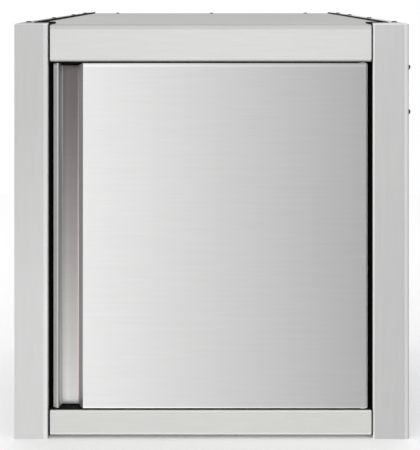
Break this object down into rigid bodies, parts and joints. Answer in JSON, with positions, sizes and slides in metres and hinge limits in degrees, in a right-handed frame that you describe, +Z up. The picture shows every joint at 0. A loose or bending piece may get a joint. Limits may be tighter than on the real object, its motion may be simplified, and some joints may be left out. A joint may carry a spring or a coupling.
{
  "type": "wall cabinet",
  "caption": "Stainless steel wall cabinet with a sloping top and an inset folded door on pivot pins, pulled by a full-height finger channel.",
  "frame": {"origin": "middle of the body's outline at the height of the side panels' lower edges", "axes": "+Z up, +Y from the door to the wall, +X to the right as seen by someone facing the door"},
  "size_m": [0.6034, 0.4, 0.7892],
  "materials": {
    "brushed_steel": "brushed stainless sheet",
    "door_steel": "stainless sheet brushed along its width",
    "bright_steel": "plain bright steel",
    "pin_steel": "ground",
    "black_rubber": "matt",
    "black_plastic": "fine matt",
    "white_nylon": "satin",
    "magnet_ferrite": "pressed ferrite",
    "infill_board": "raw fibre board"
  },
  "bodies": {
    "cabinet": {"left_side_panel": "brushed_steel", "right_side_panel": "brushed_steel", "top_panel": "brushed_steel", "bottom_panel": "brushed_steel", "back_panel": "brushed_steel", "shelf": "brushed_steel", "shelf_stiffener": "brushed_steel", "latch_stop_strip": "brushed_steel", "hinge_stop_strip": "brushed_steel", "top_stop_strip": "brushed_steel", "bottom_stop_strip": "brushed_steel", "wall_fixing_rail": "bright_steel", "left_shelf_bracket": "bright_steel", "right_shelf_bracket": "bright_steel", "upper_hinge_plate": "bright_steel", "lower_hinge_plate": "bright_steel", "hinge_stile_stiffener": "bright_steel", "hinge_side_screw_1": "bright_steel", "hinge_side_screw_2": "bright_steel", "left_flange_rivet_1": "bright_steel", "left_flange_rivet_2": "bright_steel", "left_flange_rivet_3": "bright_steel", "left_flange_rivet_4": "bright_steel", "right_flange_rivet_1": "bright_steel", "right_flange_rivet_2": "bright_steel", "right_flange_rivet_3": "bright_steel", "right_flange_rivet_4": "bright_steel", "rear_edge_rivet_1": "bright_steel", "rear_edge_rivet_2": "bright_steel", "rear_edge_rivet_3": "bright_steel", "catch_screw_1": "bright_steel", "catch_screw_2": "bright_steel", "lower_pivot_bush": "white_nylon", "upper_pivot_bush": "white_nylon", "latch_seal": "black_rubber", "top_seal": "black_rubber", "bottom_seal": "black_rubber", "catch_housing": "black_plastic", "catch_magnet": "magnet_ferrite"},
    "door": {"door_skin": "door_steel", "door_liner": "door_steel", "door_infill": "infill_board", "lower_pivot_block": "bright_steel", "upper_pivot_block": "bright_steel", "lower_pivot_pin": "pin_steel", "upper_pivot_pin": "pin_steel", "catch_strike": "bright_steel"}
  },
  "joints": [
    {"name": "door_hinge", "type": "hinge", "parent": "cabinet", "child": "door", "pos_m": [0.2305, -0.189, 0.30835], "axis": [0, 0, 1], "range_deg": [0, 100]}
  ]
}
